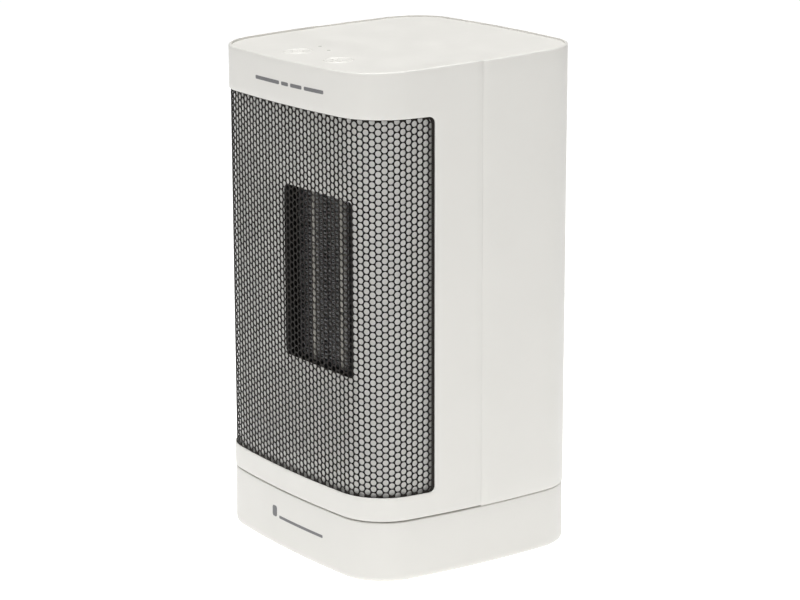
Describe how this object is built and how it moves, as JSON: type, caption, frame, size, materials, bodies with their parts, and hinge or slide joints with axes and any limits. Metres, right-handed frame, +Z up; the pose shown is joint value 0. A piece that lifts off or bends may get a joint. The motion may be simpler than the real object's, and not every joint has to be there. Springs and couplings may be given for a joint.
{
  "type": "ceramic space heater",
  "caption": "Small upright ceramic fan heater: off-white rounded tower with a wrap-round black grille, touch-size push buttons on top, turning on a low oscillating base.",
  "frame": {"origin": "centre of the footprint on the floor, under the rubber feet", "axes": "+Z up, the grille faces -Y, +X is on the right seen from the front"},
  "size_m": [0.143, 0.133, 0.2512],
  "materials": {
    "white_plastic": "fine satin texture",
    "pale_plastic": "satin",
    "black_plastic": "satin",
    "black_steel": "baked black paint",
    "steel": "zinc plated",
    "aluminium": "mill finish, heat darkened",
    "ceramic": "unglazed",
    "brass": "satin",
    "rubber": "matt",
    "circuit_board": "solder mask",
    "gear_plastic": "moulded acetal",
    "lens": "clear light pipe"
  },
  "bodies": {
    "base": {"base_shell": "white_plastic", "base_plate": "pale_plastic", "rubber_foot_1": "rubber", "rubber_foot_2": "rubber", "rubber_foot_3": "rubber", "rubber_foot_4": "rubber", "base_screw_1": "steel", "base_screw_2": "steel", "base_screw_3": "steel", "base_screw_4": "steel", "swing_motor": "steel", "motor_screw_1": "steel", "motor_screw_2": "steel", "bearing_ring": "gear_plastic", "tip_switch": "black_plastic", "terminal_block": "pale_plastic", "cord_gland": "rubber"},
    "pinion": {"swing_pinion": "gear_plastic"},
    "plunger": {"tip_plunger": "pale_plastic"},
    "tower": {"tower_floor": "pale_plastic", "swing_gear": "gear_plastic", "hub_screw_1": "steel", "hub_screw_2": "steel", "hub_screw_3": "steel", "front_shell": "white_plastic", "rear_shell": "white_plastic", "top_panel": "white_plastic", "shell_screw_1": "steel", "shell_screw_2": "steel", "shell_screw_3": "steel", "shell_screw_4": "steel", "grille_mesh": "black_steel", "diffuser_panel": "white_plastic", "outlet_duct": "black_plastic", "element_cap_lower": "black_plastic", "element_cap_upper": "black_plastic", "electrode_left": "aluminium", "electrode_middle": "aluminium", "electrode_right": "aluminium", "ceramic_bar_left": "ceramic", "ceramic_bar_right": "ceramic", "fin_strip_1": "aluminium", "fin_strip_2": "aluminium", "fin_strip_3": "aluminium", "fin_strip_4": "aluminium", "fan_shroud": "black_plastic", "fan_motor": "steel", "power_light": "lens", "swing_light": "lens", "power_switch": "black_plastic", "swing_switch": "black_plastic", "control_board": "circuit_board", "capacitor": "black_plastic", "heater_relay": "black_plastic", "thermostat": "aluminium", "thermal_fuse": "brass"},
    "rotor": {"fan_shaft": "steel", "fan_impeller": "black_plastic"},
    "power_button": {"power_button": "white_plastic"},
    "swing_button": {"swing_button": "white_plastic"}
  },
  "joints": [
    {"name": "swing", "type": "hinge", "parent": "base", "child": "tower", "pos_m": [0, 0, 0.032], "axis": [0, 0, 1], "range_deg": [-35, 35]},
    {"name": "pinion_spin", "type": "hinge", "parent": "base", "child": "pinion", "pos_m": [0, 0.03, 0.024], "axis": [0, 0, 1], "range_deg": [-145, 145]},
    {"name": "fan_spin", "type": "hinge", "parent": "tower", "child": "rotor", "pos_m": [0, 0.01, 0.136], "axis": [0, 1, 0], "continuous": true},
    {"name": "power_press", "type": "slide", "parent": "tower", "child": "power_button", "axis": [0, 0.0375, -0.9993], "range_m": [0, 0.001], "stiffness_N_per_m": 600},
    {"name": "swing_press", "type": "slide", "parent": "tower", "child": "swing_button", "axis": [0, 0.0375, -0.9993], "range_m": [0, 0.001], "stiffness_N_per_m": 600},
    {"name": "plunger_drop", "type": "slide", "parent": "base", "child": "plunger", "axis": [0, 0, -1], "range_m": [0, 0.004], "stiffness_N_per_m": 40, "springref_m": 0.008}
  ],
  "couplings": [
    {"joint": "pinion_spin", "follows": "swing", "ratio": -4}
  ]
}
